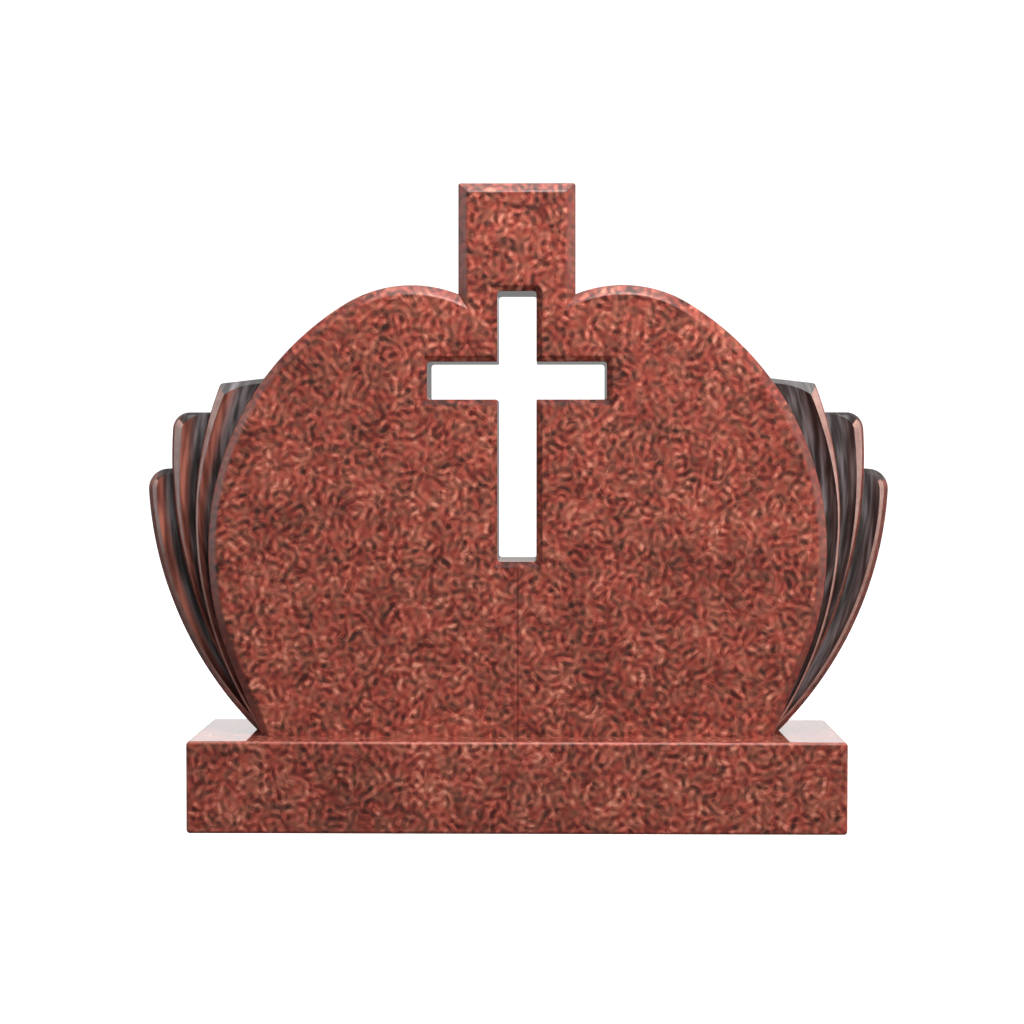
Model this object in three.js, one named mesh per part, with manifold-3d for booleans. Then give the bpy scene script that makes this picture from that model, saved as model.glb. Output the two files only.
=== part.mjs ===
// A polished granite headstone on its plinth: a heart-shouldered tablet with a square block on top,
// a Latin cross cut right through, and three dished petals that step back at each side.
// Millimetres, +Z up. The front faces -Y and the origin is the middle of the plinth's underside.
import * as THREE from 'three';
import { mergeVertices } from 'three/addons/utils/BufferGeometryUtils.js';
import Module from 'manifold-3d';

// Plinth
const PLINTH_WIDTH = 900;
const PLINTH_DEPTH = 250;
const PLINTH_HEIGHT = 126;
const PLINTH_EASE = 5;

// Tablet and block, one slab
const SLAB_THICKNESS = 140;
const SLAB_TOP = 890;
const SLAB_CHAMFER = 13;
const BLOCK_HALF_WIDTH = 81;
const SIDE_CENTRE = new THREE.Vector2(29, 383);
const SIDE_RADIUS = 400;
const LOBE_RADIUS = 176;
const LOBE_JOIN = THREE.MathUtils.degToRad(58.5);
const FOOT_JOIN = THREE.MathUtils.degToRad(-22.5);

// Cross opening and the fine groove below it
const BAR_HALF_WIDTH = 27;
const BAR_BOTTOM = 368;
const BAR_TOP = 741;
const ARM_HALF_SPAN = 124;
const ARM_BOTTOM = 592;
const ARM_TOP = 644;
const CROSS_CHAMFER = 8;
const GROOVE_WIDTH = 6;
const GROOVE_DEPTH = 1;

// Petals, from the tablet outwards: each outer edge is an arc struck from its own centre
const PETALS = [
  { centre: new THREE.Vector2(-72, 424), radius: 522, top: 615, rise: 0.12, corner: 0, lip: 13.5, lipFoot: 4.5 },
  { centre: new THREE.Vector2(-130, 510), radius: 615, top: 575, rise: 0, corner: 24, lip: 17.5, lipFoot: 4.5 },
  { centre: new THREE.Vector2(0, 495), radius: 522, top: 496, rise: 0, corner: 28, lip: 17, lipFoot: 14 },
];
const PETAL_CHAMFER = 18;
const PETAL_INNER_EDGE = 240;
const FIRST_CREST_SETBACK = 18;
const CREST_STEP = 14;
const LIP_TAPER = 0.055;
const TOP_FACET_HEIGHT = 18;
const TOP_FACET_DEPTH = 16;

// Flutes, the hollows dished into the petals
const FLUTE_DEPTH = 16;
const FLUTE_DEPTH_PER_WIDTH = 0.58;
const FLUTE_MIN_WIDTH = 1;
const FLUTE_STEEPEST = THREE.MathUtils.degToRad(20);
const FLUTE_SEGMENTS = 8;
const FLUTE_ROWS = 26;

// Fineness of the arcs, and how far cutters and feet run past the stone
const LOBE_SEGMENTS = 14;
const SIDE_SEGMENTS = 28;
const PETAL_SEGMENTS = 22;
const CORNER_SEGMENTS = 6;
const MARGIN = 30;

const FRONT = -SLAB_THICKNESS / 2;
const BACK = SLAB_THICKNESS / 2;

const GRANITE = { roughness: 0.16, metalness: 0 };
const HEADSTONE_COLOUR = 0x8c4a3f;
const PLINTH_COLOUR = 0x85483d;

const wasm = await Module();
wasm.setup();

// Outlines are drawn in the front view, with x across and y up.

function arcPoints(centre, radius, from, to, segments) {
  const points = [];
  for (let i = 0; i <= segments; i += 1) {
    const angle = THREE.MathUtils.lerp(from, to, i / segments);
    points.push(new THREE.Vector2(centre.x + radius * Math.cos(angle), centre.y + radius * Math.sin(angle)));
  }
  return points;
}

// Half the width of a circle's right-hand side at a height.
function arcHalfWidth(centre, radius, height) {
  return centre.x + Math.sqrt(radius ** 2 - (height - centre.y) ** 2);
}

function mirrored(points) {
  return points.map((point) => new THREE.Vector2(-point.x, point.y)).reverse();
}

// The slab's straight foot leaves the side arc at this point.
const footJoin = new THREE.Vector2(
  SIDE_CENTRE.x + SIDE_RADIUS * Math.cos(FOOT_JOIN),
  SIDE_CENTRE.y + SIDE_RADIUS * Math.sin(FOOT_JOIN),
);

function slabHalfWidth(height) {
  if (height < footJoin.y) {
    return footJoin.x + (footJoin.y - height) * Math.tan(FOOT_JOIN);
  }
  return arcHalfWidth(SIDE_CENTRE, SIDE_RADIUS, height);
}

function slabShape() {
  const reach = SIDE_RADIUS - LOBE_RADIUS;
  const lobeCentre = new THREE.Vector2(
    SIDE_CENTRE.x + reach * Math.cos(LOBE_JOIN),
    SIDE_CENTRE.y + reach * Math.sin(LOBE_JOIN),
  );
  const blockJoin = Math.acos((BLOCK_HALF_WIDTH - lobeCentre.x) / LOBE_RADIUS);
  const footHeight = PLINTH_HEIGHT - MARGIN;
  const right = [
    new THREE.Vector2(BLOCK_HALF_WIDTH, SLAB_TOP),
    ...arcPoints(lobeCentre, LOBE_RADIUS, blockJoin, LOBE_JOIN, LOBE_SEGMENTS),
    ...arcPoints(SIDE_CENTRE, SIDE_RADIUS, LOBE_JOIN, FOOT_JOIN, SIDE_SEGMENTS).slice(1),
    new THREE.Vector2(slabHalfWidth(footHeight), footHeight),
  ];
  return new THREE.Shape([...right, ...mirrored(right)]);
}

function crossShape() {
  const right = [
    new THREE.Vector2(BAR_HALF_WIDTH, BAR_TOP),
    new THREE.Vector2(BAR_HALF_WIDTH, ARM_TOP),
    new THREE.Vector2(ARM_HALF_SPAN, ARM_TOP),
    new THREE.Vector2(ARM_HALF_SPAN, ARM_BOTTOM),
    new THREE.Vector2(BAR_HALF_WIDTH, ARM_BOTTOM),
    new THREE.Vector2(BAR_HALF_WIDTH, BAR_BOTTOM),
  ];
  return new THREE.Shape([...right, ...mirrored(right)]);
}

function petalHalfWidth(petal, height) {
  return arcHalfWidth(petal.centre, petal.radius, height);
}

// A petal seen from the front, running on behind its inner neighbour: arc, rounded corner, top edge.
function petalShape(petal, side) {
  const footHeight = PLINTH_HEIGHT - MARGIN;
  const reach = petal.radius - petal.corner;
  const cornerHeight = petal.top - petal.corner;
  const foot = Math.asin((footHeight - petal.centre.y) / petal.radius);
  const bend = Math.asin((cornerHeight - petal.centre.y) / reach);
  const cornerCentre = new THREE.Vector2(petal.centre.x + reach * Math.cos(bend), cornerHeight);
  const corner = arcPoints(cornerCentre, petal.corner, bend, Math.PI / 2, CORNER_SEGMENTS).slice(1);
  const innerTop = petal.top + petal.rise * (cornerCentre.x - PETAL_INNER_EDGE);
  const points = [
    new THREE.Vector2(PETAL_INNER_EDGE, footHeight),
    ...arcPoints(petal.centre, petal.radius, foot, bend, PETAL_SEGMENTS),
    ...(petal.corner > 0 ? corner : []),
    new THREE.Vector2(PETAL_INNER_EDGE, innerTop),
  ];
  return new THREE.Shape(points.map((point) => new THREE.Vector2(side * point.x, point.y)));
}

// Geometry of the stone and of its cutters.

// A front-view shape between two depths, with both faces chamfered inwards.
function prism(shape, front, back, chamfer) {
  const geometry = new THREE.ExtrudeGeometry(shape, {
    depth: back - front - 2 * chamfer,
    bevelEnabled: chamfer > 0,
    bevelThickness: chamfer,
    bevelSize: chamfer,
    bevelOffset: -chamfer,
    bevelSegments: 1,
  });
  geometry.rotateX(Math.PI / 2);
  geometry.translate(0, back - chamfer, 0);
  return geometry;
}

// A cutter outside the slab whose inner end narrows to the shape, which chamfers an opening's rim.
function flare(shape, outside, chamfer) {
  const geometry = new THREE.ExtrudeGeometry(shape, {
    depth: MARGIN,
    bevelThickness: chamfer,
    bevelSize: chamfer,
    bevelSegments: 1,
  });
  geometry.rotateX(Math.PI / 2);
  geometry.translate(0, outside, 0);
  return geometry;
}

// Joins horizontal rings of equal length, wound anticlockwise from above, into a closed body.
function loft(rings) {
  const count = rings[0].length;
  const last = rings.length - 1;
  const positions = rings.flat().flatMap((point) => point.toArray());
  const index = [];
  for (let k = 0; k < last; k += 1) {
    for (let j = 0; j < count; j += 1) {
      const a = k * count + j;
      const b = k * count + ((j + 1) % count);
      index.push(a, b, b + count, a, b + count, a + count);
    }
  }
  const flat = (ring) => ring.map((point) => new THREE.Vector2(point.x, point.y));
  for (const [a, b, c] of THREE.ShapeUtils.triangulateShape(flat(rings[0]), [])) {
    index.push(a, c, b);
  }
  for (const [a, b, c] of THREE.ShapeUtils.triangulateShape(flat(rings[last]), [])) {
    index.push(last * count + a, last * count + b, last * count + c);
  }
  const geometry = new THREE.BufferGeometry();
  geometry.setAttribute('position', new THREE.Float32BufferAttribute(positions, 3));
  geometry.setIndex(index);
  return geometry;
}

function crestSetback(order) {
  return FRONT + FIRST_CREST_SETBACK + order * CREST_STEP;
}

// The width of a petal's lip, which narrows towards the foot.
function lipWidth(petal, height) {
  return Math.max(petal.lipFoot, petal.lip - LIP_TAPER * (petal.top - height));
}

// What stands inside a petal at a height: the slab or the widest of the petals before it.
function neighbourHalfWidth(order, height) {
  const widths = PETALS.slice(0, order).map((petal) => petalHalfWidth(petal, Math.min(height, petal.top)));
  return Math.max(slabHalfWidth(height), ...widths);
}

// The hollow of one petal: a steep wall behind the lip that eases into a flat floor.
function fluteRing(order, side, height) {
  const petal = PETALS[order];
  const lip = lipWidth(petal, height);
  const crest = petalHalfWidth(petal, height) - lip;
  const width = Math.max(FLUTE_MIN_WIDTH, crest - neighbourHalfWidth(order, height));
  const depth = Math.min(FLUTE_DEPTH, FLUTE_DEPTH_PER_WIDTH * width);
  const crestDepth = crestSetback(order) + PETAL_CHAMFER - lip;
  const outside = crestSetback(order) - MARGIN;
  const start = FLUTE_STEEPEST;
  const ring = [new THREE.Vector3(crest, outside, height)];
  for (let i = 0; i <= FLUTE_SEGMENTS; i += 1) {
    const angle = THREE.MathUtils.lerp(start, Math.PI / 2, i / FLUTE_SEGMENTS);
    const across = 1 - Math.cos(angle) / Math.cos(start);
    const down = (Math.sin(angle) - Math.sin(start)) / (1 - Math.sin(start));
    ring.push(new THREE.Vector3(crest - width * across, crestDepth + depth * down, height));
  }
  const inner = PETAL_INNER_EDGE - MARGIN;
  ring.push(new THREE.Vector3(inner, crestDepth + depth, height), new THREE.Vector3(inner, outside, height));
  if (side > 0) {
    return ring;
  }
  return ring.map((point) => new THREE.Vector3(-point.x, point.y, point.z)).reverse();
}

function fluteGeometry(order, side) {
  const bottom = PLINTH_HEIGHT - 2 * MARGIN;
  const top = PETALS[order].top + MARGIN;
  const rings = [];
  for (let i = 0; i <= FLUTE_ROWS; i += 1) {
    rings.push(fluteRing(order, side, THREE.MathUtils.lerp(bottom, top, i / FLUTE_ROWS)));
  }
  return loft(rings);
}

// The wedge that slopes a petal's top edge back from its crest.
function topFacetGeometry(order, side) {
  const petal = PETALS[order];
  const crestDepth = crestSetback(order) + PETAL_CHAMFER - petal.lip;
  const low = petal.top - 2 * TOP_FACET_HEIGHT;
  const high = petal.top + 2 * TOP_FACET_HEIGHT;
  const near = crestDepth - TOP_FACET_DEPTH;
  const far = crestDepth + 3 * TOP_FACET_DEPTH;
  const wedge = new THREE.Shape([
    new THREE.Vector2(near, low),
    new THREE.Vector2(far, high),
    new THREE.Vector2(near, high),
  ]);
  const reach = petal.radius;
  const geometry = new THREE.ExtrudeGeometry(wedge, { depth: reach, bevelEnabled: false });
  const axes = new THREE.Matrix4().makeBasis(
    new THREE.Vector3(0, 1, 0),
    new THREE.Vector3(0, 0, 1),
    new THREE.Vector3(1, 0, 0),
  );
  geometry.applyMatrix4(axes);
  geometry.translate(side > 0 ? PETAL_INNER_EDGE - MARGIN : MARGIN - PETAL_INNER_EDGE - reach, 0, 0);
  return geometry;
}

// A fine shallow groove down the middle of one face, from the cross to the foot.
function grooveGeometry(face, inward) {
  const section = new THREE.Shape([
    new THREE.Vector2(-GROOVE_WIDTH, face - inward * GROOVE_DEPTH),
    new THREE.Vector2(GROOVE_WIDTH, face - inward * GROOVE_DEPTH),
    new THREE.Vector2(0, face + inward * GROOVE_DEPTH),
  ]);
  const bottom = PLINTH_HEIGHT - MARGIN;
  const geometry = new THREE.ExtrudeGeometry(section, { depth: BAR_BOTTOM - bottom, bevelEnabled: false });
  geometry.translate(0, 0, bottom);
  return geometry;
}

// Everything below the plinth's top, cut away so that the headstone has a flat foot.
function belowFootGeometry() {
  const height = 4 * MARGIN;
  const geometry = new THREE.BoxGeometry(2 * PLINTH_WIDTH, 2 * PLINTH_DEPTH, height);
  geometry.translate(0, 0, PLINTH_HEIGHT - height / 2);
  return geometry;
}

function solid(geometry) {
  const bare = geometry.clone();
  bare.deleteAttribute('normal');
  bare.deleteAttribute('uv');
  const merged = mergeVertices(bare);
  const vertProperties = new Float32Array(merged.attributes.position.array);
  const triVerts = new Uint32Array(merged.index.array);
  return new wasm.Manifold(new wasm.Mesh({ numProp: 3, vertProperties, triVerts }));
}

function surface(body) {
  const { vertProperties, triVerts } = body.getMesh();
  const geometry = new THREE.BufferGeometry();
  geometry.setAttribute('position', new THREE.Float32BufferAttribute(vertProperties, 3));
  geometry.setIndex(new THREE.Uint32BufferAttribute(triVerts, 1));
  geometry.computeVertexNormals();
  return geometry;
}

function petalSolid(order, side) {
  const shape = petalShape(PETALS[order], side);
  return solid(prism(shape, crestSetback(order), BACK, PETAL_CHAMFER))
    .subtract(solid(fluteGeometry(order, side)))
    .subtract(solid(topFacetGeometry(order, side)));
}

function headstoneGeometry() {
  let body = solid(prism(slabShape(), FRONT, BACK, SLAB_CHAMFER));
  for (const side of [-1, 1]) {
    for (const order of PETALS.keys()) {
      body = body.add(petalSolid(order, side));
    }
  }
  const cross = crossShape();
  const cutters = [
    prism(cross, FRONT - MARGIN, BACK + MARGIN, 0),
    flare(cross, FRONT, CROSS_CHAMFER),
    flare(cross, BACK + MARGIN, CROSS_CHAMFER),
    grooveGeometry(FRONT, 1),
    grooveGeometry(BACK, -1),
    belowFootGeometry(),
  ];
  for (const cutter of cutters) {
    body = body.subtract(solid(cutter));
  }
  return surface(body);
}

// A block with every edge eased: the plan's corners are cut, and its top and bottom rims are chamfered.
function plinthGeometry() {
  const x = PLINTH_WIDTH / 2;
  const y = PLINTH_DEPTH / 2;
  const ease = PLINTH_EASE;
  const plan = new THREE.Shape([
    new THREE.Vector2(x - ease, -y),
    new THREE.Vector2(x, ease - y),
    new THREE.Vector2(x, y - ease),
    new THREE.Vector2(x - ease, y),
    new THREE.Vector2(ease - x, y),
    new THREE.Vector2(-x, y - ease),
    new THREE.Vector2(-x, ease - y),
    new THREE.Vector2(ease - x, -y),
  ]);
  const geometry = new THREE.ExtrudeGeometry(plan, {
    depth: PLINTH_HEIGHT - 2 * ease,
    bevelThickness: ease,
    bevelSize: ease,
    bevelOffset: -ease,
    bevelSegments: 1,
  });
  geometry.translate(0, 0, ease);
  return geometry;
}

function stonePiece(name, geometry, colour) {
  const mesh = new THREE.Mesh(geometry, new THREE.MeshStandardMaterial({ color: colour, ...GRANITE }));
  mesh.name = name;
  return mesh;
}

const memorial = new THREE.Group();
memorial.add(stonePiece('plinth', plinthGeometry(), PLINTH_COLOUR));
memorial.add(stonePiece('headstone', headstoneGeometry(), HEADSTONE_COLOUR));

export default memorial;
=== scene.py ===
import math

import bmesh
import bpy
from mathutils import Euler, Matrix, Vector


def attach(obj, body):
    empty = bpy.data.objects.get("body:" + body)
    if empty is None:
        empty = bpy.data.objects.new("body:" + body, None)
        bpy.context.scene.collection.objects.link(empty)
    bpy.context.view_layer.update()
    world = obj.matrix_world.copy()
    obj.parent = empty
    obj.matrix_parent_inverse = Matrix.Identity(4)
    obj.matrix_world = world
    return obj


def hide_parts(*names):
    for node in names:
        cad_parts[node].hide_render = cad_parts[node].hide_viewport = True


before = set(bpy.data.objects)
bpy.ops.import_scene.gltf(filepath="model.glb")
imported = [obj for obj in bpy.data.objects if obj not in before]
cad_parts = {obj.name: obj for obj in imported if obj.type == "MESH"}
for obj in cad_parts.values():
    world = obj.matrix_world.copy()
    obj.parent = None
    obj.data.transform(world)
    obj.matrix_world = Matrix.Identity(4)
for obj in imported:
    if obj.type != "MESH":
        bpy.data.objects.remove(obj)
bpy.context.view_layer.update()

# Sizes in millimetres, the same as in the part's source
MM = 0.001
PLINTH_WIDTH = 900
PLINTH_DEPTH = 250
PLINTH_HEIGHT = 126
PLINTH_EASE = 5

SLAB_THICKNESS = 140
SLAB_TOP = 890
SLAB_CHAMFER = 13
BLOCK_HALF_WIDTH = 81
SIDE_CENTRE = (29, 383)
SIDE_RADIUS = 400
LOBE_RADIUS = 176
LOBE_JOIN = math.radians(58.5)
FOOT_JOIN = math.radians(-22.5)

BAR_HALF_WIDTH = 27
BAR_BOTTOM = 368
BAR_TOP = 741
ARM_HALF_SPAN = 124
ARM_BOTTOM = 592
ARM_TOP = 644
CROSS_CHAMFER = 8
GROOVE_WIDTH = 6

PETALS = [
    {
        "centre": (-72, 424), "radius": 522, "top": 615, "rise": 0.12,
        "corner": 0, "lip": 13.5, "lip_foot": 4.5,
    },
    {
        "centre": (-130, 510), "radius": 615, "top": 575, "rise": 0,
        "corner": 24, "lip": 17.5, "lip_foot": 4.5,
    },
    {
        "centre": (0, 495), "radius": 522, "top": 496, "rise": 0,
        "corner": 28, "lip": 17, "lip_foot": 14,
    },
]
PETAL_CHAMFER = 18
PETAL_INNER_EDGE = 240
FIRST_CREST_SETBACK = 18
CREST_STEP = 14
LIP_TAPER = 0.055
TOP_FACET_HEIGHT = 18
TOP_FACET_DEPTH = 16

FLUTE_DEPTH = 16
FLUTE_DEPTH_PER_WIDTH = 0.58
FLUTE_MIN_WIDTH = 1
FLUTE_STEEPEST = math.radians(20)

MARGIN = 30
FRONT = -SLAB_THICKNESS / 2
BACK = SLAB_THICKNESS / 2

# Refinements in millimetres: rounded arrises and corners, the bands outside the lips, the groove's cut
GROOVE_DEPTH = 1.6
SLAB_ARRIS = 8
PETAL_ARRIS = 3
CROSS_ARRIS = 3
BLOCK_CORNER = 3
LEAST_PETAL_CORNER = 5
CROSS_CORNER = 4
CROSS_CORNER_SPREAD = 0.4
CROSS_NOTCH = 1.5
LEAST_CORNER = 0.6
LIP_BANDS = [1.5, 4, 8]
LIP_BAND_STEEPNESS = 2
CREST_REACH = 1.5
CREST_SHARE = 0.7
CREST_CLEARANCE = 0.15
BACK_STEP = 0.1

# Fineness of the meshes
RUN_ON = 3
ARRIS_SEGMENTS = 4
CORNER_SEGMENTS = 8
SMALL_CORNER_SEGMENTS = 3
LOBE_SEGMENTS = 48
SIDE_SEGMENTS = 90
PETAL_SEGMENTS = 72
FLUTE_SEGMENTS = 16
FLUTE_ROWS = 84
MERGE_DISTANCE = 0.03
SMOOTH_ANGLE = math.radians(28)
AREA_WEIGHT = 100

# Surfaces, as places in the list of materials, and the turns of the normal that tell them apart
POLISHED = 0
DISHED = 1
LIP = 2
FLARE = 3
TOP_FACING = 0.5
RIM_FACING = -0.2
LIP_FACING = -0.6
FLARE_FACING = 0.5


# Outlines in the front view, as (x, z) points

def arc(centre, radius, start, end, segments):
    points = []
    for i in range(segments + 1):
        angle = start + (end - start) * i / segments
        points.append((centre[0] + radius * math.cos(angle), centre[1] + radius * math.sin(angle)))
    return points


def mirrored(points):
    return [(-x, z) for x, z in reversed(points)]


def arc_half_width(centre, radius, height):
    return centre[0] + math.sqrt(radius ** 2 - (height - centre[1]) ** 2)


def slab_half_width(height, inset=0):
    radius = SIDE_RADIUS - inset
    join_x = SIDE_CENTRE[0] + radius * math.cos(FOOT_JOIN)
    join_z = SIDE_CENTRE[1] + radius * math.sin(FOOT_JOIN)
    if height < join_z:
        return join_x + (join_z - height) * math.tan(FOOT_JOIN)
    return arc_half_width(SIDE_CENTRE, radius, height)


# The block's corner, the lobe, the side and the straight foot, and the same mirrored.
def slab_outline(inset):
    reach = SIDE_RADIUS - LOBE_RADIUS
    lobe_centre = (
        SIDE_CENTRE[0] + reach * math.cos(LOBE_JOIN),
        SIDE_CENTRE[1] + reach * math.sin(LOBE_JOIN),
    )
    half = BLOCK_HALF_WIDTH - inset
    lobe_radius = LOBE_RADIUS - inset
    block_join = math.acos((half - lobe_centre[0]) / lobe_radius)
    corner = max(BLOCK_CORNER - inset, LEAST_CORNER)
    corner_centre = (half - corner, SLAB_TOP - inset - corner)
    foot = PLINTH_HEIGHT - MARGIN
    right = arc(corner_centre, corner, math.pi / 2, 0, SMALL_CORNER_SEGMENTS)
    right += arc(lobe_centre, lobe_radius, block_join, LOBE_JOIN, LOBE_SEGMENTS)
    right += arc(SIDE_CENTRE, SIDE_RADIUS - inset, LOBE_JOIN, FOOT_JOIN, SIDE_SEGMENTS)[1:]
    right.append((slab_half_width(foot, inset), foot))
    return right + mirrored(right)


# A petal's curved side, its rounded corner and its top, which falls toward the tip by its rise.
def petal_outline(petal, inset):
    centre_x, centre_z = petal["centre"]
    rise = petal["rise"]
    slope_length = math.hypot(1, rise)
    radius = petal["radius"] - inset
    corner = max(max(petal["corner"], LEAST_PETAL_CORNER) - inset, LEAST_CORNER)
    foot = PLINTH_HEIGHT - MARGIN
    bend_x = arc_half_width(petal["centre"], petal["radius"], petal["top"])
    line = petal["top"] + rise * (bend_x - centre_x) - centre_z
    reach = radius - corner
    drop = line - (inset + corner) * slope_length
    across = math.sqrt((drop * rise) ** 2 - slope_length ** 2 * (drop ** 2 - reach ** 2))
    offset = (drop * rise + across) / slope_length ** 2
    corner_centre = (centre_x + offset, centre_z + drop - rise * offset)
    bend = math.atan2(drop - rise * offset, offset)
    foot_angle = math.asin((foot - centre_z) / radius)
    inner_top = centre_z + line - inset * slope_length - rise * (PETAL_INNER_EDGE - centre_x)
    points = [(PETAL_INNER_EDGE, foot)]
    points += arc(petal["centre"], radius, foot_angle, bend, PETAL_SEGMENTS)
    points += arc(corner_centre, corner, bend, math.atan2(1, rise), CORNER_SEGMENTS)[1:]
    points.append((PETAL_INNER_EDGE, inner_top))
    return points


# A rounded corner at the end of a bar or arm; to_x and to_z point from it into the opening.
def cross_corner(x, z, to_x, to_z, radius, start):
    centre = (x + to_x * radius, z + to_z * radius)
    return arc(centre, radius, start, start - math.pi / 2, SMALL_CORNER_SEGMENTS)


# A rounded corner where bar and arm meet; to_x and to_z point from it into the stone.
def cross_notch(x, z, to_x, to_z, radius, start):
    centre = (x + to_x * radius, z + to_z * radius)
    return arc(centre, radius, start, start + math.pi / 2, SMALL_CORNER_SEGMENTS)


def cross_outline(inset):
    bar = BAR_HALF_WIDTH - inset
    arm = ARM_HALF_SPAN - inset
    top = BAR_TOP - inset
    bottom = BAR_BOTTOM + inset
    arm_top = ARM_TOP - inset
    arm_bottom = ARM_BOTTOM + inset
    outer = CROSS_CORNER - CROSS_CORNER_SPREAD * inset
    inner = max(CROSS_NOTCH + inset, LEAST_CORNER)
    quarter = math.pi / 2
    right = cross_corner(bar, top, -1, -1, outer, quarter)
    right += cross_notch(bar, arm_top, 1, 1, inner, 2 * quarter)
    right += cross_corner(arm, arm_top, -1, -1, outer, quarter)
    right += cross_corner(arm, arm_bottom, -1, 1, outer, 0)
    right += cross_notch(bar, arm_bottom, 1, -1, inner, quarter)
    right += cross_corner(bar, bottom, -1, 1, outer, 0)
    return right + mirrored(right)


# The plinth's outline in plan, as (x, y) points.
def plinth_outline(inset):
    half_x = PLINTH_WIDTH / 2 - inset
    half_y = PLINTH_DEPTH / 2 - inset
    corner = max(PLINTH_EASE - inset, LEAST_CORNER)
    right = arc((half_x - corner, half_y - corner), corner, math.pi / 2, 0, CORNER_SEGMENTS)
    right += arc((half_x - corner, corner - half_y), corner, 0, -math.pi / 2, CORNER_SEGMENTS)
    return right + mirrored(right)


# Section lines, as (inset, depth) points

def rounded(points, radius, segments):
    line = [points[0]]
    for before, corner, after in zip(points, points[1:], points[2:]):
        corner, before, after = Vector(corner), Vector(before), Vector(after)
        to_before = (before - corner).normalized()
        to_after = (after - corner).normalized()
        half_angle = to_before.angle(to_after) / 2
        reach = radius / math.tan(half_angle)
        centre = corner + (to_before + to_after).normalized() * radius / math.sin(half_angle)
        start = corner + to_before * reach - centre
        turn = start.angle_signed(corner + to_after * reach - centre)
        for i in range(segments + 1):
            angle = -turn * i / segments
            x = start.x * math.cos(angle) - start.y * math.sin(angle)
            y = start.x * math.sin(angle) + start.y * math.cos(angle)
            line.append((centre.x + x, centre.y + y))
    return line + [points[-1]]


# The edge of a plate from its front face round to its back face.
def plate_section(chamfer, thickness, arris):
    far = RUN_ON * chamfer
    corners = [
        (far, 0),
        (chamfer, 0),
        (0, chamfer),
        (0, thickness - chamfer),
        (chamfer, thickness),
        (far, thickness),
    ]
    return rounded(corners, arris, ARRIS_SEGMENTS)[1:-1]


# The edge of a petal: a lip that slopes to the front and a steeper narrow band outside it.
def petal_section(thickness, band):
    far = RUN_ON * PETAL_CHAMFER
    lip_end = PETAL_CHAMFER - band
    corners = [
        (far, 0),
        (PETAL_CHAMFER, 0),
        (band, lip_end),
        (0, lip_end + LIP_BAND_STEEPNESS * band),
        (0, thickness - PETAL_CHAMFER),
        (PETAL_CHAMFER, thickness),
        (far, thickness),
    ]
    return rounded(corners, PETAL_ARRIS, ARRIS_SEGMENTS)[1:-1]


# The edge of the cross from outside the front face to outside the back face, flared at both faces.
def opening_section(chamfer, thickness, arris):
    far = RUN_ON * chamfer
    corners = [
        (-far, 0),
        (-chamfer, 0),
        (0, chamfer),
        (0, thickness - chamfer),
        (-chamfer, thickness),
        (-far, thickness),
    ]
    inside = rounded(corners, arris, ARRIS_SEGMENTS)[1:-1]
    mouth = inside[0][0]
    return [(mouth, -MARGIN)] + inside + [(mouth, thickness + MARGIN)]


# Meshes

def mesh_object(name, points, faces, surface):
    mesh = bpy.data.meshes.new(name)
    mesh.from_pydata([Vector(p) * MM for p in points], [], faces)
    mesh.polygons.foreach_set("material_index", [surface] * len(faces))
    shape = bmesh.new()
    shape.from_mesh(mesh)
    bmesh.ops.recalc_face_normals(shape, faces=shape.faces)
    shape.to_mesh(mesh)
    shape.free()
    piece = bpy.data.objects.new(name, mesh)
    bpy.context.scene.collection.objects.link(piece)
    return piece


# Joins rings of equal length into a closed body.
def ring_body(name, rings, surface=POLISHED):
    count = len(rings[0])
    points = [point for ring in rings for point in ring]
    faces = [list(range(count)), list(range((len(rings) - 1) * count, len(rings) * count))]
    for k in range(len(rings) - 1):
        for j in range(count):
            a = k * count + j
            b = k * count + (j + 1) % count
            faces.append([a, b, b + count, a + count])
    return mesh_object(name, points, faces, surface)


# A body with one outline and an edge section.
def plate(name, outline, section, front, side=1):
    rings = [[(side * x, front + depth, z) for x, z in outline(inset)] for inset, depth in section]
    return ring_body(name, rings)


# Joins a tool to a body or cuts it out of the body, and uses the tool up.
def combine(body, operation, tool):
    modifier = body.modifiers.new(operation, "BOOLEAN")
    modifier.operation = operation
    modifier.solver = "MANIFOLD"
    modifier.material_mode = "INDEX"
    modifier.object = tool
    graph = bpy.context.evaluated_depsgraph_get()
    mesh = bpy.data.meshes.new_from_object(body.evaluated_get(graph))
    body.modifiers.clear()
    spent = [body.data, tool.data]
    body.data = mesh
    bpy.data.objects.remove(tool)
    for old in spent:
        bpy.data.meshes.remove(old)


def crest_setback(order):
    return FRONT + FIRST_CREST_SETBACK + order * CREST_STEP


def lip_width(petal, height):
    return max(petal["lip_foot"], petal["lip"] - LIP_TAPER * (petal["top"] - height))


# What stands inside a petal at a height: the slab or the widest of the petals before it.
def neighbour_half_width(order, height):
    widths = [slab_half_width(height)]
    for petal in PETALS[:order]:
        widths.append(arc_half_width(petal["centre"], petal["radius"], min(height, petal["top"])))
    return max(widths)


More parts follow.
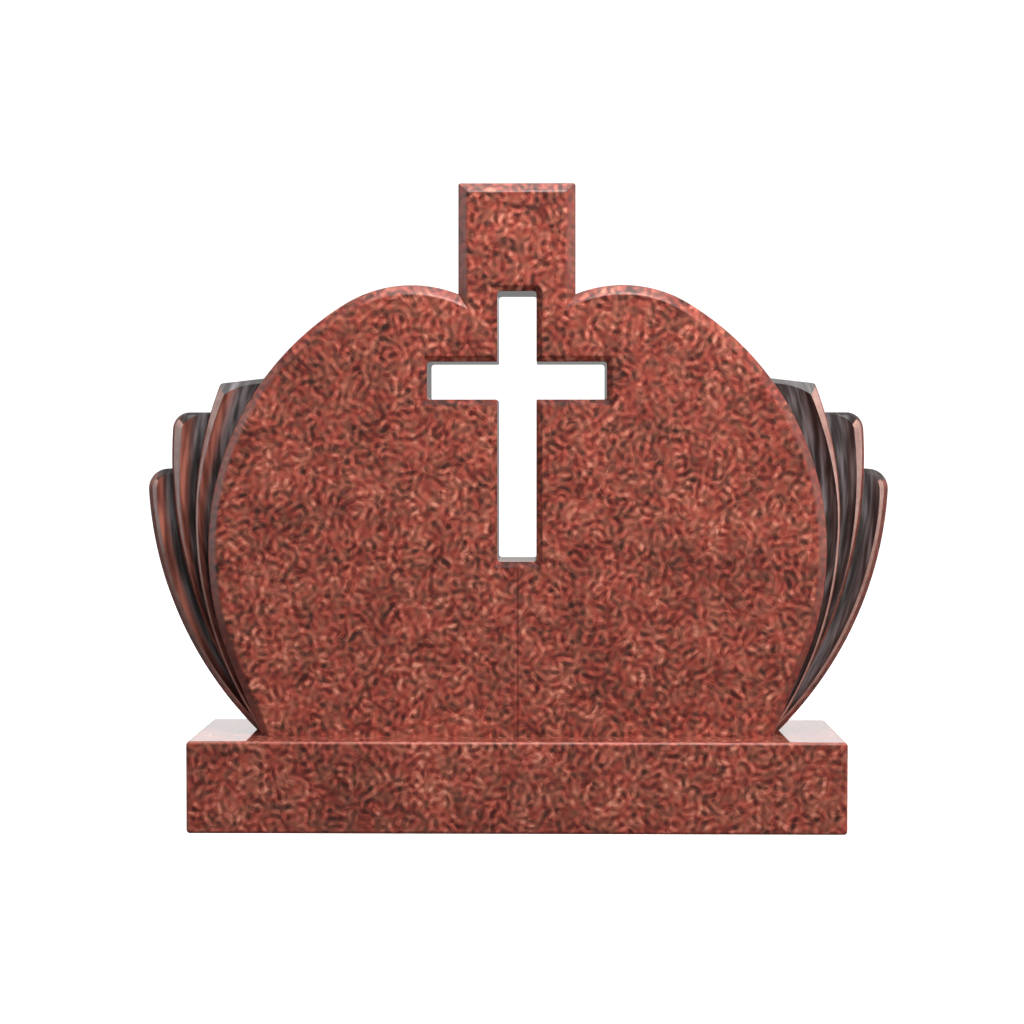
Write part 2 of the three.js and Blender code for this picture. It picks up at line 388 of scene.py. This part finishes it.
# The hollow of one petal at a height: a rounded crest, a steep wall behind the lip, a flat floor.
def flute_section(order, height):
    petal = PETALS[order]
    lip = lip_width(petal, height)
    outer = arc_half_width(petal["centre"], petal["radius"], height)
    crest = outer - lip
    width = max(FLUTE_MIN_WIDTH, crest - neighbour_half_width(order, height))
    depth = min(FLUTE_DEPTH, FLUTE_DEPTH_PER_WIDTH * width)
    crest_depth = crest_setback(order) + PETAL_CHAMFER - lip
    outside = crest_setback(order) - MARGIN
    wall = []
    for i in range(FLUTE_SEGMENTS + 1):
        angle = FLUTE_STEEPEST + (math.pi / 2 - FLUTE_STEEPEST) * i / FLUTE_SEGMENTS
        across = 1 - math.cos(angle) / math.cos(FLUTE_STEEPEST)
        down = (math.sin(angle) - math.sin(FLUTE_STEEPEST)) / (1 - math.sin(FLUTE_STEEPEST))
        wall.append(Vector((crest - width * across, crest_depth + depth * down)))
    step = wall[1] - wall[0]
    reach = min(CREST_REACH, CREST_SHARE * step.length)
    lip_slope = (outer - petal["centre"][0]) / petal["radius"]
    start = wall[0] + Vector((reach, reach * lip_slope - CREST_CLEARANCE))
    end = wall[0] + step.normalized() * reach
    bend = []
    for i in range(ARRIS_SEGMENTS + 1):
        t = i / ARRIS_SEGMENTS
        bend.append(start * (1 - t) ** 2 + wall[0] * 2 * t * (1 - t) + end * t ** 2)
    inner = PETAL_INNER_EDGE - MARGIN
    line = [Vector((start.x, outside))] + bend + wall[1:]
    line += [Vector((inner, crest_depth + depth)), Vector((inner, outside))]
    return line


def flute_cutter(order, side):
    bottom = PLINTH_HEIGHT - 2 * MARGIN
    top = PETALS[order]["top"] + MARGIN
    rings = []
    for i in range(FLUTE_ROWS + 1):
        height = bottom + (top - bottom) * i / FLUTE_ROWS
        rings.append([(side * p.x, p.y, height) for p in flute_section(order, height)])
    return ring_body("flute", rings, DISHED)


# The wedge that slopes a petal's top edge back from its crest.
def top_facet_cutter(order, side):
    petal = PETALS[order]
    crest_depth = crest_setback(order) + PETAL_CHAMFER - petal["lip"]
    low = petal["top"] - 2 * TOP_FACET_HEIGHT
    high = petal["top"] + 2 * TOP_FACET_HEIGHT
    near = crest_depth - TOP_FACET_DEPTH
    far = crest_depth + 3 * TOP_FACET_DEPTH
    wedge = [(near, low), (far, high), (near, high)]
    ends = (PETAL_INNER_EDGE - MARGIN, PETAL_INNER_EDGE + petal["radius"])
    return ring_body("facet", [[(side * x, y, z) for y, z in wedge] for x in ends], DISHED)


# The lip runs down the side of a petal; its sloping top edge is as dark as the hollow.
def petal_surface(face):
    if face.normal.z > TOP_FACING and face.normal.y < RIM_FACING:
        return DISHED
    return POLISHED if face.normal.y > LIP_FACING else LIP


def petal_body(order, side):
    petal = PETALS[order]
    front = crest_setback(order)
    back = BACK - BACK_STEP * (order + 1)
    section = petal_section(back - front, LIP_BANDS[order])
    body = plate("petal", lambda inset: petal_outline(petal, inset), section, front, side)
    for face in body.data.polygons:
        face.material_index = petal_surface(face)
    combine(body, "DIFFERENCE", flute_cutter(order, side))
    combine(body, "DIFFERENCE", top_facet_cutter(order, side))
    return body


def cross_cutter():
    opening = opening_section(CROSS_CHAMFER, SLAB_THICKNESS, CROSS_ARRIS)
    cutter = plate("cross", cross_outline, opening, FRONT)
    for face in cutter.data.polygons:
        face.material_index = FLARE if abs(face.normal.y) > FLARE_FACING else POLISHED
    return cutter


# A fine shallow groove down the middle of one face, from the cross to the foot.
def groove_cutter(face, inward):
    section = [
        (-GROOVE_WIDTH, face - inward * GROOVE_DEPTH),
        (GROOVE_WIDTH, face - inward * GROOVE_DEPTH),
        (0, face + inward * GROOVE_DEPTH),
    ]
    ends = (PLINTH_HEIGHT - MARGIN, BAR_BOTTOM)
    return ring_body("groove", [[(x, y, z) for x, y in section] for z in ends])


def below_foot_cutter():
    x, y = PLINTH_WIDTH, PLINTH_DEPTH
    corners = [(-x, -y), (x, -y), (x, y), (-x, y)]
    ends = (PLINTH_HEIGHT - 4 * MARGIN, PLINTH_HEIGHT)
    return ring_body("below_foot", [[(cx, cy, z) for cx, cy in corners] for z in ends])


# Merges points that lie close together, and gives the piece its materials and even normals.
def finish_surface(piece, materials):
    mesh = piece.data
    shape = bmesh.new()
    shape.from_mesh(mesh)
    bmesh.ops.remove_doubles(shape, verts=shape.verts, dist=MERGE_DISTANCE * MM)
    bmesh.ops.dissolve_degenerate(shape, edges=shape.edges, dist=MERGE_DISTANCE * MM)
    shape.to_mesh(mesh)
    shape.free()
    while len(mesh.materials) < len(materials):
        mesh.materials.append(None)
    for place, material in enumerate(materials):
        mesh.materials[place] = material
    mesh.shade_smooth()
    mesh.set_sharp_from_angle(angle=SMOOTH_ANGLE)
    weighted = piece.modifiers.new("even_normals", "WEIGHTED_NORMAL")
    weighted.keep_sharp = True
    weighted.weight = AREA_WEIGHT


def headstone_piece():
    section = plate_section(SLAB_CHAMFER, SLAB_THICKNESS, SLAB_ARRIS)
    body = plate("headstone_stone", slab_outline, section, FRONT)
    for side in (-1, 1):
        for order in range(len(PETALS)):
            combine(body, "UNION", petal_body(order, side))
    combine(body, "DIFFERENCE", cross_cutter())
    combine(body, "DIFFERENCE", groove_cutter(FRONT, 1))
    combine(body, "DIFFERENCE", groove_cutter(BACK, -1))
    combine(body, "DIFFERENCE", below_foot_cutter())
    return body


def plinth_piece():
    far = RUN_ON * PLINTH_EASE
    corners = [(far, 0), (0, 0), (0, PLINTH_HEIGHT), (far, PLINTH_HEIGHT)]
    section = rounded(corners, PLINTH_EASE, CORNER_SEGMENTS)[1:-1]
    rings = [[(x, y, z) for x, y in plinth_outline(inset)] for inset, z in section]
    return ring_body("plinth_stone", rings)


# Granite: scales are in cells or waves per metre, reaches in metres
FULL_TURN = 2 * math.pi
NOISE_MIDDLE = 0.5
GRANITE_IOR = 1.5
WALL_FACING = 0.5

# The bent strokes of the grain
WAVER_SCALE = 60
WAVER_REACH = 0.003
STROKES = [
    {"cells": 45, "spacing": 0.0135, "shift": 0.1},
    {"cells": 51, "spacing": 0.0155, "shift": 0.4},
    {"cells": 57, "spacing": 0.0125, "shift": 0.7},
]
STROKE_SHARE = 0.165
STROKE_EDGE = 0.8
STROKE_BEND = 50
STROKE_FADE = (0.25, 0.7)
PATCH_SCALE = 33
PATCH_RANGE = (0.3, 0.6)
PATCH_LEAST = 0.75
HUE_SCALE = 75
HUE_DETAIL = 1.0
HUE_RANGE = (0.35, 0.65)

# Layers of noise, as (scale, detail, share)
CLOUDS = [(127, 0.0, 0.35), (37, 1.0, 0.6), (13, 1.0, 0.35)]
SMOOTH_CLOUDS = [(60, 2.0, 0.9), (13, 1.0, 0.4)]
# The hollows' streaks along the arcs are a painted reflection of the long curved hollows.
REFLECTION_STREAKS = [(170, 1.0, 1.1), (65, 1.0, 0.8)]

# Polished faces and their slopes, with the turns of the normal where one passes into the other
POLISH_ROUGHNESS = 0.07
PLINTH_ROUGHNESS = 0.06
FACE_TONE = 0.48
FACE_TURN = (0.72, 0.99)
EASE_TURN = (0.94, 0.998)
WALL_TURN = (0.05, 0.5)
LEVEL_TURN = (0.2, 0.6)
SLOPE_ROUGHNESS = 0.4
SLOPE_TONE = 0.4
# The plinth's eased edges are paler, a painted highlight along its arrises.
PLINTH_SLOPE_HIGHLIGHT_TONE = 0.62
SIDE_SLOPE_CONTRAST = 0.45
LEVEL_SLOPE_CONTRAST = 1.0
PLINTH_SLOPE_CONTRAST = 0.5

# Flares of the cross
FLARE_ROUGHNESS = 0.5
FLARE_GLOSS = 0.15
FLARE_RISE = (-0.5, 0.5)
# Painted shade and light: the flares' tone where they face down and where they face up.
FLARE_PAINTED_SHADES = (0.6, 0.18)

# Lips and hollows of the petals
LIP_ROUGHNESS = 0.25
SMOOTH_TONE = 0.5
HOLLOW_ROUGHNESS = 0.3
STREAK_CENTRE = (0.07, 0.47)
STREAK_STRETCH = 0.05
WALL_RISE = (0.25, 0.65)
# Painted light and shade: the walls' red fades from the left wing to the right one, and the tone goes from
# a little lighter at the left to darker at the right.
WALL_REDNESS_LEFT_TO_SHADED_RIGHT = (1.0, 0.12)
WING_REACH = 0.3
WING_PAINTED_SHADE = (0.03, -0.05)
# Painted shade: rims that face up are darkened.
RIM_RISE = (0.3, 0.6)
RIM_PAINTED_SHADE = -0.16

# Tones, from the darkest to the palest, with sRGB colours
RED_TONES = [
    (0.0, (72, 33, 30)),
    (0.25, (110, 49, 43)),
    (0.5, (150, 69, 58)),
    (0.75, (183, 93, 78)),
    (1.0, (213, 132, 112)),
]
BROWN_TONES = [
    (0.0, (58, 39, 34)),
    (0.25, (98, 58, 49)),
    (0.5, (138, 78, 64)),
    (0.75, (175, 102, 84)),
    (1.0, (212, 143, 121)),
]
# The palest hollow tone colours the pale streaks, a painted reflection.
HOLLOW_TONES = [(0.25, (46, 41, 40)), (0.45, (70, 65, 65)), (0.7, (124, 117, 120))]
WALL_TONES = [(0.25, (80, 46, 40)), (0.45, (116, 66, 56)), (0.7, (160, 97, 83))]
# Pale lip tones: a painted highlight along the petals' crests.
LIP_HIGHLIGHT_TONES = [(0.2, (146, 104, 95)), (0.5, (170, 128, 118)), (0.8, (192, 150, 140))]


# An sRGB colour of 0 to 255 as the linear colour that the nodes take.
def linear(red, green, blue):
    values = []
    for value in (red, green, blue):
        share = value / 255
        values.append(share / 12.92 if share <= 0.04045 else ((share + 0.055) / 1.055) ** 2.4)
    return (*values, 1)


class Shader:
    """A small helper that adds nodes to a node tree and links them."""

    def __init__(self, tree):
        self.tree = tree

    def node(self, kind, **settings):
        made = self.tree.nodes.new(kind)
        for name, value in settings.items():
            setattr(made, name, value)
        return made

    def feed(self, socket, value):
        if isinstance(value, bpy.types.NodeSocket):
            self.tree.links.new(value, socket)
        else:
            socket.default_value = value

    def math(self, operation, a, b=0.0):
        made = self.node("ShaderNodeMath", operation=operation)
        self.feed(made.inputs[0], a)
        self.feed(made.inputs[1], b)
        return made.outputs[0]

    # Passes smoothly from to_low to to_high while the value goes from low to high.
    def ramp(self, value, low, high, to_low=0.0, to_high=1.0):
        made = self.node("ShaderNodeMapRange", interpolation_type="SMOOTHSTEP")
        for name, given in (("Value", value), ("From Min", low), ("From Max", high)):
            self.feed(made.inputs[name], given)
        self.feed(made.inputs["To Min"], to_low)
        self.feed(made.inputs["To Max"], to_high)
        return made.outputs["Result"]

    def blend(self, share, first, second):
        made = self.node("ShaderNodeMapRange")
        for name, given in (("Value", share), ("To Min", first), ("To Max", second)):
            self.feed(made.inputs[name], given)
        return made.outputs["Result"]

    def mix(self, share, first, second):
        made = self.node("ShaderNodeMix", data_type="RGBA", blend_type="MIX")
        sockets = [socket for socket in made.inputs if socket.enabled]
        for socket, value in zip(sockets, (share, first, second)):
            self.feed(socket, value)
        return next(socket for socket in made.outputs if socket.enabled)

    def place(self):
        return self.node("ShaderNodeTexCoord").outputs["Object"]

    def parts(self, vector):
        made = self.node("ShaderNodeSeparateXYZ")
        self.feed(made.inputs[0], vector)
        return [made.outputs[axis] for axis in "XYZ"]

    def normal(self):
        return self.parts(self.node("ShaderNodeNewGeometry").outputs["Normal"])

    # How far the surface faces along each axis, either way.
    def facing(self):
        return [self.math("ABSOLUTE", part) for part in self.normal()]

    def noise(self, place, scale, detail=0.0):
        made = self.node("ShaderNodeTexNoise", noise_dimensions="3D")
        self.feed(made.inputs["Vector"], place)
        self.feed(made.inputs["Scale"], scale)
        self.feed(made.inputs["Detail"], detail)
        return made

    # Moves the place a little to and fro, so that what is drawn there wavers.
    def wavering(self, place, scale, reach):
        moved = self.node("ShaderNodeVectorMath", operation="MULTIPLY_ADD")
        self.feed(moved.inputs[0], self.noise(place, scale).outputs["Color"])
        self.feed(moved.inputs[1], (reach, reach, reach))
        self.feed(moved.inputs[2], place)
        return moved.outputs[0]

    # Lays the place flat: on (x, z) for faces and slopes, on (y, z) for side walls and on (x, y)
    # for walls above and below.
    def flattened(self, place, facing):
        x, y, z = self.parts(place)
        wall = self.math("LESS_THAN", facing[1], WALL_FACING)
        sideways = self.math("GREATER_THAN", facing[0], facing[2])
        side_wall = self.math("MULTIPLY", wall, sideways)
        level_wall = self.math("SUBTRACT", wall, side_wall)
        flat = self.node("ShaderNodeCombineXYZ")
        for socket, value, share in (("X", x, side_wall), ("Y", z, level_wall)):
            change = self.math("MULTIPLY", share, self.math("SUBTRACT", y, value))
            self.feed(flat.inputs[socket], self.math("ADD", value, change))
        return flat.outputs[0]

    # Draws the place out along arcs about a centre at each side, so that what is drawn there
    # runs along them.
    def along_arcs(self, x, z):
        outward = self.math("ADD", self.math("ABSOLUTE", x), STREAK_CENTRE[0])
        upward = self.math("SUBTRACT", z, STREAK_CENTRE[1])
        outward_square = self.math("MULTIPLY", outward, outward)
        upward_square = self.math("MULTIPLY", upward, upward)
        radius = self.math("SQRT", self.math("ADD", outward_square, upward_square))
        turn = self.math("ARCTAN2", upward, outward)
        drawn_out = self.node("ShaderNodeCombineXYZ")
        self.feed(drawn_out.inputs["X"], radius)
        self.feed(drawn_out.inputs["Y"], self.math("SIGN", x))
        self.feed(drawn_out.inputs["Z"], self.math("MULTIPLY", turn, STREAK_STRETCH))
        return drawn_out.outputs[0]

    # Cells with a turn of their own: how far the place is from the cell's middle, in all, along
    # and across its turn, and two random numbers of the cell.
    def cells(self, flat, scale, shift):
        moved = self.node("ShaderNodeVectorMath", operation="ADD")
        self.feed(moved.inputs[0], flat)
        self.feed(moved.inputs[1], (shift, -shift, 0))
        found = self.node("ShaderNodeTexVoronoi", voronoi_dimensions="2D", feature="F1")
        self.feed(found.inputs["Vector"], moved.outputs[0])
        self.feed(found.inputs["Scale"], scale)
        offset = self.node("ShaderNodeVectorMath", operation="SUBTRACT")
        self.feed(offset.inputs[0], moved.outputs[0])
        self.feed(offset.inputs[1], found.outputs["Position"])
        numbers = self.node("ShaderNodeSeparateColor")
        self.feed(numbers.inputs[0], found.outputs["Color"])
        turned = self.node("ShaderNodeVectorRotate", rotation_type="Z_AXIS")
        self.feed(turned.inputs["Vector"], offset.outputs[0])
        self.feed(turned.inputs["Angle"], self.math("MULTIPLY", numbers.outputs[0], FULL_TURN))
        along, across, _ = self.parts(turned.outputs[0])
        return found.outputs["Distance"], along, across, numbers.outputs[1], numbers.outputs[2]


# Adds layers of noise to a tone.
def clouded(shader, place, tone, layers):
    for scale, detail, share in layers:
        layer = shader.math("SUBTRACT", shader.noise(place, scale, detail).outputs["Fac"], NOISE_MIDDLE)
        tone = shader.math("ADD", tone, shader.math("MULTIPLY", layer, share))
    return tone


# Bent dark and light strokes side by side, in cells that are turned every way and fade at their
# borders.
def stroke_tone(shader, flat, layer):
    distance, along, across, bend, start = shader.cells(flat, layer["cells"], layer["shift"])
    along_square = shader.math("MULTIPLY", along, along)
    curve = shader.math("MULTIPLY", along_square, shader.math("MULTIPLY", bend, STROKE_BEND))
    turns = shader.math("DIVIDE", shader.math("SUBTRACT", across, curve), layer["spacing"])
    angle = shader.math("MULTIPLY", shader.math("ADD", turns, start), FULL_TURN)
    stroke = shader.ramp(shader.math("SINE", angle), -STROKE_EDGE, STROKE_EDGE, -1.0, 1.0)
    return shader.math("MULTIPLY", stroke, shader.ramp(distance, *STROKE_FADE, 1.0, 0.0))


# The grain about its middle tone: strokes that are stronger in patches, and clouds.
def grain_tone(shader, place, facing):
    flat = shader.flattened(shader.wavering(place, WAVER_SCALE, WAVER_REACH), facing)
    tone = stroke_tone(shader, flat, STROKES[0])
    for layer in STROKES[1:]:
        tone = shader.math("ADD", tone, stroke_tone(shader, flat, layer))
    patches = shader.noise(place, PATCH_SCALE).outputs["Fac"]
    strength = shader.ramp(patches, *PATCH_RANGE, PATCH_LEAST * STROKE_SHARE, STROKE_SHARE)
    return clouded(shader, place, shader.math("MULTIPLY", tone, strength), CLOUDS)


def colour_ramp(shader, value, tones):
    made = shader.node("ShaderNodeValToRGB")
    elements = made.color_ramp.elements
    while len(elements) < len(tones):
        elements.new(1.0)
    for element, (place, colour) in zip(elements, tones):
        element.position = place
        element.color = linear(*colour)
    shader.feed(made.inputs["Fac"], value)
    return made.outputs["Color"]


# Granite turns from red to brown in patches.
def granite_colour(shader, place, tone):
    hue = shader.ramp(shader.noise(place, HUE_SCALE, HUE_DETAIL).outputs["Fac"], *HUE_RANGE)
    red = colour_ramp(shader, tone, RED_TONES)
    brown = colour_ramp(shader, tone, BROWN_TONES)
    return shader.mix(hue, red, brown)


def new_material(name, roughness):
    material = bpy.data.materials.new(name)
    material.use_nodes = True
    surface = material.node_tree.nodes["Principled BSDF"]
    surface.inputs["Roughness"].default_value = roughness
    surface.inputs["IOR"].default_value = GRANITE_IOR
    return Shader(material.node_tree), surface, material


# How much of a slope the surface is, between a face and a wall.
def slope_share(shader, front_facing, face_turn):
    off_face = shader.ramp(front_facing, *face_turn, 1.0, 0.0)
    off_wall = shader.ramp(front_facing, *WALL_TURN)
    return shader.math("MINIMUM", off_face, off_wall)


# Polished granite; its slopes are less polished and show less grain, those at the sides least, and take
# their own tone, which on the plinth is paler as a painted highlight.
def polished_granite(name, roughness, slope_tone, level_contrast):
    shader, surface, material = new_material(name, roughness)
    place = shader.place()
    facing = shader.facing()
    sloping = slope_share(shader, facing[1], FACE_TURN)
    slope_contrast = shader.ramp(facing[2], *LEVEL_TURN, SIDE_SLOPE_CONTRAST, level_contrast)
    contrast = shader.blend(sloping, 1.0, slope_contrast)
    tone = shader.math("MULTIPLY", grain_tone(shader, place, facing), contrast)
    tone = shader.math("ADD", tone, shader.blend(sloping, FACE_TONE, slope_tone))
    shader.feed(surface.inputs["Base Color"], granite_colour(shader, place, tone))
    eased = slope_share(shader, facing[1], EASE_TURN)
    shader.feed(surface.inputs["Roughness"], shader.ramp(eased, 0.0, 1.0, roughness, SLOPE_ROUGHNESS))
    return material


# The flares of the cross have the grain of the faces, with painted shade darkening them where they face up
# and painted light making them paler where they face down.
def flare_granite(name, roughness):
    shader, surface, material = new_material(name, roughness)
    surface.inputs["Specular IOR Level"].default_value = FLARE_GLOSS
    place = shader.place()
    # Painted shade where the flares face up, painted light where they face down.
    painted_shade = shader.ramp(shader.normal()[2], *FLARE_RISE, *FLARE_PAINTED_SHADES)
    tone = shader.math("ADD", grain_tone(shader, place, shader.facing()), painted_shade)
    shader.feed(surface.inputs["Base Color"], granite_colour(shader, place, tone))
    return material


# The smoother lips have soft clouds only, and their pale pink-grey tones are a painted highlight along the
# crests.
def smooth_granite(name, tones, roughness):
    shader, surface, material = new_material(name, roughness)
    tone = clouded(shader, shader.place(), SMOOTH_TONE, SMOOTH_CLOUDS)
    shader.feed(surface.inputs["Base Color"], colour_ramp(shader, tone, tones))
    return material


# The hollows are streaked from top to foot, and the pale grey streaks along the arcs are a painted
# reflection. They are redder where they rise to the crests; that red fades toward the right and the tone is
# a little lighter at the left and darker at the right, which is painted light and shade, and the rims above
# them are darkened by painted shade.
def hollow_granite(name, roughness):
    shader, surface, material = new_material(name, roughness)
    x, _, z = shader.parts(shader.place())
    tone = clouded(shader, shader.along_arcs(x, z), SMOOTH_TONE, REFLECTION_STREAKS)
    facing = shader.facing()
    # Painted shade: the walls lose their red and the tone darkens toward the right wing, and rims that face
    # up are darkened.
    redness_fading_to_painted_shade = shader.ramp(x, -WING_REACH, WING_REACH, *WALL_REDNESS_LEFT_TO_SHADED_RIGHT)
    rising = shader.math("MULTIPLY", shader.ramp(facing[0], *WALL_RISE), redness_fading_to_painted_shade)
    painted_shade = shader.ramp(x, -WING_REACH, WING_REACH, *WING_PAINTED_SHADE)
    painted_shade = shader.math("ADD", painted_shade, shader.ramp(facing[2], *RIM_RISE, 0.0, RIM_PAINTED_SHADE))
    tone = shader.math("ADD", tone, painted_shade)
    floor_colour = colour_ramp(shader, tone, HOLLOW_TONES)
    wall_colour = colour_ramp(shader, tone, WALL_TONES)
    shader.feed(surface.inputs["Base Color"], shader.mix(rising, floor_colour, wall_colour))
    return material


# The two pieces

HEADSTONE_SURFACES = [
    polished_granite("polished_granite", POLISH_ROUGHNESS, SLOPE_TONE, LEVEL_SLOPE_CONTRAST),
    hollow_granite("hollow_granite", HOLLOW_ROUGHNESS),
    smooth_granite("lip_highlight_granite", LIP_HIGHLIGHT_TONES, LIP_ROUGHNESS),
    flare_granite("flare_granite", FLARE_ROUGHNESS),
]
PLINTH_SURFACES = [
    polished_granite("plinth_polished_granite", PLINTH_ROUGHNESS, PLINTH_SLOPE_HIGHLIGHT_TONE, PLINTH_SLOPE_CONTRAST),
]

headstone = headstone_piece()
finish_surface(headstone, HEADSTONE_SURFACES)
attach(headstone, "root")
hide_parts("headstone")

plinth = plinth_piece()
finish_surface(plinth, PLINTH_SURFACES)
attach(plinth, "root")
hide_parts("plinth")

# Floor, studio light and camera, in metres
FLOOR_REACH = 40
FLOOR_THICKNESS = 0.02
FLOOR_COLOUR = (0.92, 0.92, 0.92, 1)
FLOOR_GLOW = 1.1
FLOOR_ROUGHNESS = 0.9

LIGHT_TARGET = Vector((0, 0, 0.45))
WHITE = (1, 1, 1)
WARM = (1, 0.97, 0.94)
SLIGHTLY_WARM = (1, 0.98, 0.96)
SLIGHTLY_COOL = (0.98, 0.98, 1)
SOFTBOXES = [
    {"name": "key", "place": (4, -4, 2.8), "size": (2.4, 2.4), "power": 228, "colour": WARM},
    {"name": "front_top", "place": (0.3, -0.9, 2.2), "size": (1, 1), "power": 37, "colour": SLIGHTLY_WARM},
    {"name": "front_fill", "place": (1, -4.5, 1.4), "size": (1.6, 1.6), "power": 30, "colour": WHITE},
    {"name": "overhead", "place": (0, -0.2, 3.2), "size": (2.4, 1.6), "power": 34, "colour": WHITE},
    {"name": "left_side", "place": (-3, 0, 1), "size": (1.2, 2.4), "power": 19, "colour": SLIGHTLY_COOL},
    {"name": "right_side", "place": (3, 0.25, 1), "size": (1.2, 2.4), "power": 14, "colour": SLIGHTLY_WARM},
    {"name": "behind", "place": (-2, 4, 2.2), "size": (2.4, 2.4), "power": 60, "colour": WHITE},
]
NOT_MIRRORED_IN_POLISH = ("key", "front_fill", "behind")

ROOM_BEHIND = (0.55, 0.9)
ROOM_ABOVE = (0.03, 0.13)
ROOM_BRIGHTNESS = (0.3, 1.35)
ROOM_LEAST = 0.12
BACKDROP_BRIGHTNESS = 1.2

CAMERA_PLACE = (0.04, -3.066, 0.534)
CAMERA_DIP = 1.855
CAMERA_TURN = 0.89
CAMERA_SENSOR = 36
CAMERA_LENS = 76.5


def pale_material(name):
    material = bpy.data.materials.new(name)
    material.use_nodes = True
    surface = material.node_tree.nodes["Principled BSDF"]
    surface.inputs["Base Color"].default_value = FLOOR_COLOUR
    surface.inputs["Roughness"].default_value = FLOOR_ROUGHNESS
    surface.inputs["Specular IOR Level"].default_value = 0
    surface.inputs["Emission Color"].default_value = FLOOR_COLOUR
    surface.inputs["Emission Strength"].default_value = FLOOR_GLOW
    return material


# A plain floor that lights nothing and isn't mirrored in the stone.
def add_floor():
    reach = FLOOR_REACH / MM
    corners = [(-reach, -reach), (reach, -reach), (reach, reach), (-reach, reach)]
    ends = (-FLOOR_THICKNESS / MM, 0)
    floor = ring_body("floor", [[(x, y, z) for x, y in corners] for z in ends])
    floor.data.materials.append(pale_material("pale_floor"))
    floor.visible_diffuse = False
    floor.visible_glossy = False


def add_softbox(name, place, size, power, colour):
    data = bpy.data.lights.new(name, "AREA")
    data.shape = "RECTANGLE"
    data.size, data.size_y = size
    data.energy = power
    data.color = colour
    light = bpy.data.objects.new(name, data)
    light.location = place
    light.rotation_euler = (LIGHT_TARGET - Vector(place)).to_track_quat("-Z", "Y").to_euler()
    light.visible_glossy = name not in NOT_MIRRORED_IN_POLISH
    bpy.context.scene.collection.objects.link(light)


# A white room behind the stone, brightest above the horizon, and plain white for the camera.
def add_world():
    world = bpy.data.worlds.new("studio")
    world.use_nodes = True
    bpy.context.scene.world = world
    sky = Shader(world.node_tree)
    background = world.node_tree.nodes["Background"]
    _, backward, upward = sky.parts(sky.node("ShaderNodeTexCoord").outputs["Generated"])
    behind = sky.ramp(backward, *ROOM_BEHIND)
    above = sky.ramp(upward, *ROOM_ABOVE, *ROOM_BRIGHTNESS)
    room = sky.math("MAXIMUM", sky.math("MULTIPLY", behind, above), ROOM_LEAST)
    seen = sky.node("ShaderNodeLightPath").outputs["Is Camera Ray"]
    backdrop = sky.math("MULTIPLY", seen, BACKDROP_BRIGHTNESS)
    sky.feed(background.inputs["Strength"], sky.math("MAXIMUM", room, backdrop))
    background.inputs["Color"].default_value = (*WHITE, 1)


def add_camera():
    data = bpy.data.cameras.new("camera")
    data.sensor_width = CAMERA_SENSOR
    data.lens = CAMERA_LENS
    camera = bpy.data.objects.new("camera", data)
    camera.location = CAMERA_PLACE
    camera.rotation_euler = Euler((math.pi / 2 - math.radians(CAMERA_DIP), 0, math.radians(CAMERA_TURN)))
    bpy.context.scene.collection.objects.link(camera)
    bpy.context.scene.camera = camera


add_floor()
for softbox in SOFTBOXES:
    add_softbox(**softbox)
add_world()
add_camera()
bpy.context.scene.view_settings.view_transform = "Standard"
